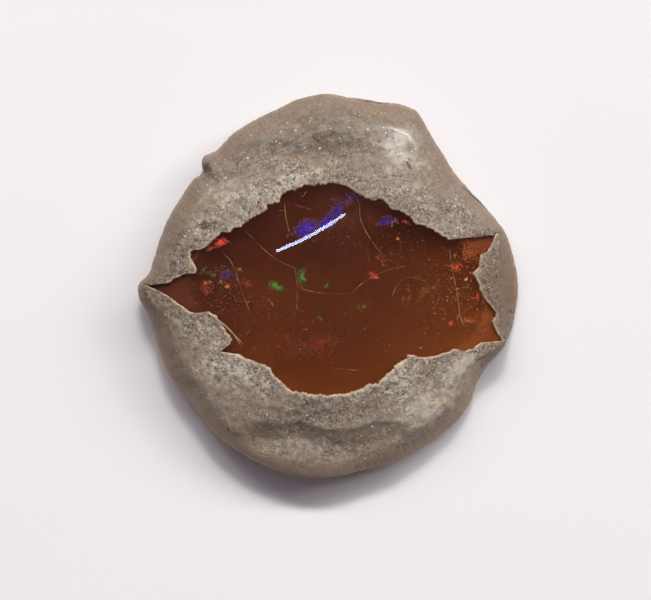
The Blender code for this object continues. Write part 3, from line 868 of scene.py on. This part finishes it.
class Nodes:
    """Short calls that build up a tree of nodes."""

    def __init__(self, owner):
        owner.use_nodes = True
        self.tree = owner.node_tree

    def node(self, kind, output, inputs=(), **settings):
        """One output of a new node. Each input is fed by its name or number."""
        made = self.tree.nodes.new("ShaderNode" + kind)
        for name, value in settings.items():
            setattr(made, name, value)
        for name, value in dict(inputs).items():
            self.feed(made.inputs[name], value)
        return made.outputs[output]

    def feed(self, socket, value):
        """Links a node's output to the socket, or sets the socket to a plain value."""
        if isinstance(value, bpy.types.NodeSocket):
            self.tree.links.new(value, socket)
        elif socket.type == "RGBA":
            socket.default_value = (*value, 1.0)
        else:
            socket.default_value = value

    def blend(self, share, a, b):
        """Colour a where share is 0, and b where it is 1."""
        return self.node("Mix", 2, {"Factor": share, 6: a, 7: b}, data_type="RGBA")


class Surface(Nodes):
    """A procedural material. Its lengths are in millimetres."""

    def __init__(self, name, roughness=0.5):
        self.material = bpy.data.materials.new(name)
        super().__init__(self.material)
        self.shader = self.tree.nodes["Principled BSDF"]
        self.set("Roughness", roughness)

    def set(self, name, value):
        self.feed(self.shader.inputs[name], value)

    def place(self):
        """Position on the object."""
        inputs = {0: self.node("TexCoord", "Object"), "Scale": 1.0 / MM}
        return self.node("VectorMath", 0, inputs, operation="SCALE")

    def along(self, axis):
        """Position along one axis of the object."""
        return self.node("SeparateXYZ", axis, {0: self.place()})

    def stored(self, name, output="Fac"):
        """What the mesh stores under this name."""
        return self.node("Attribute", output, attribute_name=name)

    def noise(self, length, detail=3.0, roughness=0.55, at=None):
        at = at or self.place()
        inputs = {"Vector": at, "Scale": 1.0 / length, "Detail": detail, "Roughness": roughness}
        return self.node("TexNoise", "Fac", inputs)

    def cells(self, length):
        return self.node("TexVoronoi", "Distance", {"Vector": self.place(), "Scale": 1.0 / length})

    def span(self, value, low, high, to_low=0.0, to_high=1.0):
        """The value carried smoothly from low..high to to_low..to_high."""
        inputs = {"Value": value, "From Min": low, "From Max": high, "To Min": to_low, "To Max": to_high}
        return self.node("MapRange", "Result", inputs, interpolation_type="SMOOTHSTEP")

    def math(self, operation, a, b):
        return self.node("Math", 0, {0: a, 1: b}, operation=operation)

    def times(self, *values):
        product = values[0]
        for value in values[1:]:
            product = self.math("MULTIPLY", product, value)
        return product

    def near(self, point, reach):
        """1 at a point of the object, falling to 0 at reach from it."""
        away = self.node("VectorMath", "Value", {0: self.place(), 1: point}, operation="DISTANCE")
        return self.span(away, reach, 0.0)

    def bump(self, height, depth, strength=1.0):
        inputs = {"Strength": strength, "Distance": depth * MM, "Height": height}
        self.set("Normal", self.node("Bump", "Normal", inputs))


def srgb(*seen):
    """Linear red, green and blue of a colour as it looks, where each is from 11 to 255."""
    return tuple(((c / 255.0 + 0.055) / 1.055) ** 2.4 for c in seen)


def rock_material():
    """Grey to tan rock, chalky and pitted round the window, from its broad tones to its small marks."""
    s = Surface("ground_rock")
    inward, outward, tone = s.stored("inward"), s.stored("outward"), s.stored("tone")
    rough, mark = s.stored("rough"), s.stored("mark")
    round_it = s.stored("streak", "Vector")
    broad = s.noise(3.2, 4.0, 0.6)
    patchy = s.noise(1.0, 4.0, 0.65)
    blotchy = s.noise(0.5, 3.0, 0.6)
    streaky = s.noise(0.8, 4.0, 0.7, at=round_it)
    grainy = s.noise(0.27, 3.0, 0.65)
    fine = s.noise(0.14, 2.0, 0.6)
    tint = s.noise(2.0, 4.0, 0.65, at=round_it)
    colour = srgb(*ROCK_COLOURS["brown"])

    def swing(value, amount):
        return s.times(s.math("SUBTRACT", value, 0.5), amount)

    def paint(name, *shares):
        nonlocal colour
        colour = s.blend(s.times(*shares), colour, srgb(*ROCK_COLOURS[name]))

    # The ground, and tints in bands round the stone.
    level = s.math("ADD", tone, s.math("ADD", swing(broad, 1.3), swing(patchy, 2.2)))
    level = s.math("ADD", level, s.times(swing(blotchy, 2.6), s.span(rough, 0.0, 1.0, 0.45, 1.0)))
    paint("grey", s.span(level, -0.9, 0.1))
    paint("chalk", s.span(level, 0.1, 1.2))
    # Painted shade: darker towards the far side.
    paint("far side", s.span(s.along("Y"), 1.0, 11.0, 0.0, 0.24))
    paint("ochre tint", s.span(tint, 0.50, 0.64, 0.0, 0.42))
    paint("grey tint", s.span(tint, 0.48, 0.36, 0.0, 0.42))
    # The rim and its worn edge.
    paint("rim", s.span(s.math("ADD", outward, swing(broad, 2.5)), 2.2, 0.0), 0.8)
    paint("brown end", s.math("MAXIMUM", *[s.near(*end) for end in BROWN_ENDS]), 0.72)
    paint("worn edge", s.span(s.math("ADD", outward, swing(patchy, 0.8)), 0.45, 0.05), 0.55)
    # Grains, pits and marks. Close to the window the rock is cleaner.
    paint("streak", s.span(streaky, 0.53, 0.68), 0.5)
    clean = s.span(inward, 0.12, 0.55, 0.3, 1.0)
    paint("dark grain", s.span(grainy, 0.47, 0.34), s.span(rough, 0.0, 1.0, 0.35, 1.0), clean, 0.78)
    chalky = s.times(s.span(rough, 0.0, 1.0, 0.17, 0.46), s.span(tone, -1.0, 0.1, 0.3, 1.0))
    paint("pale grain", s.span(fine, 0.52, 0.68), chalky)
    pits = s.times(s.span(s.noise(0.36, 2.0, 0.5, at=round_it), 0.60, 0.68), rough, clean, 0.85)
    paint("pit", pits)
    ragged_mark = s.math("ADD", mark, s.times(swing(blotchy, 1.6), s.span(mark, 0.05, 0.4)))
    paint("mark", s.span(ragged_mark, 0.3, 0.75), 0.85)
    # What lies in one place.
    paint("lip", s.span(inward, 0.34, 0.08), s.span(patchy, 0.38, 0.56, 0.2, 0.7))
    paint("rust", s.near(*RUST), s.span(outward, 1.2, 0.2), 0.85)
    # Painted shade along the ledge and under it.
    paint("ledge_shade", s.stored("ledge_shade"), s.span(patchy, 0.36, 0.52, 0.5, 1.0), 0.78)
    # Painted light: paler on the near side's rim, where its roll is shaded.
    paint("near rim", s.span(s.along("Y"), -3.0, -11.0), s.span(outward, 1.3, 0.3), 0.5)
    on_face = s.times(s.span(inward, 0.3, 0.8), s.span(outward, 0.2, 1.6))
    paint("crystal", s.span(s.cells(0.5), 0.17, 0.11), s.span(s.noise(0.9), 0.50, 0.56), on_face, 0.8)
    # Painted highlight on the polished shoulder.
    paint("painted highlight", s.near(*PAINTED_HIGHLIGHT), s.span(patchy, 0.3, 0.5), 0.55)
    s.set("Base Color", colour)
    polish = s.times(s.near(*POLISH), s.span(patchy, 0.32, 0.48))
    s.set("Roughness", s.math("SUBTRACT", s.span(fine, 0.3, 0.7, 0.62, 0.76), s.times(polish, 0.52)))
    height = s.math("SUBTRACT", s.math("ADD", s.times(grainy, 0.7), s.times(fine, 0.35)), s.times(pits, 0.4))
    s.bump(height, 0.09, s.times(s.span(polish, 0.0, 0.7, 1.0, 0.12), s.span(rough, 0.0, 1.0, 0.6, 1.0)))
    return s.material


def pocket_material():
    """The skin of the cavity, seen only through the opal: brown, and paler towards the blunt end."""
    s = Surface("cavity_skin", 0.8)
    along = s.math("ADD", s.along("X"), s.times(s.math("SUBTRACT", s.noise(2.4, 3.0, 0.55), 0.5), 6.0))
    colour = s.blend(s.span(along, -12.0, -3.0), (0.19, 0.038, 0.002), (0.335, 0.069, 0.002))
    colour = s.blend(s.span(along, 2.0, 13.5), colour, (0.42, 0.098, 0.008))
    # Painted light: paler at the far side of the pocket.
    colour = s.blend(s.near(*POCKET_PAINTED_LIGHT), colour, (0.60, 0.17, 0.06))
    s.set("Base Color", s.blend(s.times(s.near(*POCKET_DARK), 0.6), colour, (0.24, 0.05, 0.005)))
    s.bump(s.noise(0.6, 3.0), 0.05)
    return s.material


def opal_material():
    """Polished opal, clear but for the tint that it gives the light within."""
    s = Surface("polished_opal", 0.012)
    s.set("Base Color", (1.0, 1.0, 1.0))
    s.set("Transmission Weight", 1.0)
    s.set("IOR", 1.45)
    s.bump(s.noise(1.6, 2.0, 0.5), 0.0008)
    tint = s.node("VolumeAbsorption", 0, {"Color": (0.54, 0.50, 0.48), "Density": 160.0})
    s.feed(s.tree.nodes["Material Output"].inputs["Volume"], tint)
    return s.material


def fleck_material(name, colour):
    """A fleck is the opal's own brown where it is faint, and shines in its colour, as painted light, where it
    glows.
    """
    s = Surface(f"fleck_{name}", 0.6)
    brown = s.blend(s.span(s.along("X"), 4.0, 13.0), (0.13, 0.030, 0.004), (0.40, 0.105, 0.014))
    if name in COOL_COLOURS:
        brown = s.blend(s.span(s.stored("glow"), 0.08, 0.45), brown, (0.03, 0.006, 0.004))
    s.set("Base Color", brown)
    s.set("Emission Color", colour)
    s.set("Emission Strength", s.times(s.stored("glow"), s.span(s.noise(0.16, 2.0), 0.35, 0.6, 0.6, 1.0)))
    return s.material


def plain_material(name, low, high, length, roughness):
    """A material that varies between two colours, in patches of the given length."""
    s = Surface(name, roughness)
    s.set("Base Color", s.blend(s.span(s.noise(length), 0.35, 0.65), low, high))
    return s.material


def floor_material():
    s = Surface("pale_table", 0.6)
    s.set("Base Color", s.blend(s.noise(60.0, 2.0), (0.80, 0.79, 0.80), (0.84, 0.83, 0.84)))
    return s.material


# ---- Stage ----


def build_floor():
    corners = TABLE_HALF * np.array([(-1, -1, 0), (1, -1, 0), (1, 1, 0), (-1, 1, 0)])
    table = make_piece("table", corners, [(0, 1, 2, 3)], [floor_material()], smooth=False)
    table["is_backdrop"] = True


def add_lamp(name, place, along, size, watts, colour):
    """A rectangular lamp that faces the stone, with its length laid along a direction. Metres."""
    along = along.normalized()
    towards = place - Vector((0.0, 0.0, AIM_HEIGHT))
    towards = (towards - along * towards.dot(along)).normalized()
    data = bpy.data.lights.new(name, "AREA")
    data.shape = "RECTANGLE"
    data.size, data.size_y = size
    data.energy = watts
    data.color = colour
    turned = Matrix((along, towards.cross(along), towards)).transposed()
    add_object(name, data).matrix_world = Matrix.Translation(place) @ turned.to_4x4()


def mirrored(x, y):
    """The direction that the camera sees in the polished dome at x, y."""
    off_x = x - TOP_AT
    height = TOP_HEIGHT - (off_x**2 + y**2) / (2.0 * DOME_RADIUS)
    normal = Vector((off_x / DOME_RADIUS, y / DOME_RADIUS, 1.0)).normalized()
    view = (Vector((*CAMERA_OVER, CAMERA_HEIGHT)) - Vector((x, y, height))).normalized()
    return 2.0 * normal.dot(view) * normal - view


def build_lights():
    for name, (place, size, watts) in LAMPS.items():
        add_lamp(name, Vector(place), Vector((1.0, 0.0, 0.0)), size, watts, LAMP_COLOUR)
    width = 2.0 * STREAK_WIDTH / DOME_RADIUS * STREAK_DISTANCE
    ends = [mirrored(x, y) * STREAK_DISTANCE for x, y in STREAK]
    for i, (start, end) in enumerate(zip(ends, ends[1:])):
        size = ((end - start).length, width)
        watts = STREAK_RADIANCE * math.pi * size[0] * size[1]
        add_lamp(f"streak_{i}", (start + end) / 2.0, end - start, size, watts, STREAK_COLOUR)
    build_room()


def build_room():
    """A dim room that is brighter on the far side than on the near one."""
    world = bpy.data.worlds.new("room")
    room = Nodes(world)
    away = room.node("SeparateXYZ", "Y", {0: room.node("TexCoord", "Generated")})
    far = room.node("MapRange", "Result", {"Value": away, "From Min": -0.5, "From Max": 0.5})
    room.feed(room.tree.nodes["Background"].inputs["Color"], room.blend(far, ROOM_NEAR, ROOM_FAR))
    bpy.context.scene.world = world


def build_camera():
    data = bpy.data.cameras.new("camera")
    data.sensor_width = SENSOR
    data.lens = SENSOR * (CAMERA_HEIGHT - OUTLINE_HEIGHT) / (IMAGE_WIDTH * PHOTO_SCALE)
    data.clip_start, data.clip_end = CAMERA_CLIP
    camera = add_object("camera", data)
    camera.location = (CAMERA_OVER[0] * MM, CAMERA_OVER[1] * MM, CAMERA_HEIGHT * MM)
    bpy.context.scene.camera = camera


def main():
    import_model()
    cad_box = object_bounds()
    build_rock(rock_material(), pocket_material(), cad_box)
    build_opal(opal_material())
    build_flecks([fleck_material(name, colour) for name, colour in FLECK_COLOURS.items()])
    crack = plain_material("crack_line", srgb(116, 64, 40), srgb(206, 148, 110), 0.8, 0.5)
    build_threads("hair_cracks", CRACKS, CRACK_RADIUS, -CRACK_RADIUS, crack)
    lint = plain_material("lint_fibre", srgb(176, 140, 110), srgb(205, 175, 145), 0.5, 0.7)
    build_threads("lint", FIBRES, FIBRE_RADIUS, FIBRE_LIFT, lint, wander=0.02)
    build_floor()
    build_lights()
    build_camera()
    bpy.context.scene.view_settings.view_transform = "Standard"
    [[list(corner) for corner in box] for box in (cad_box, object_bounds())]


main()
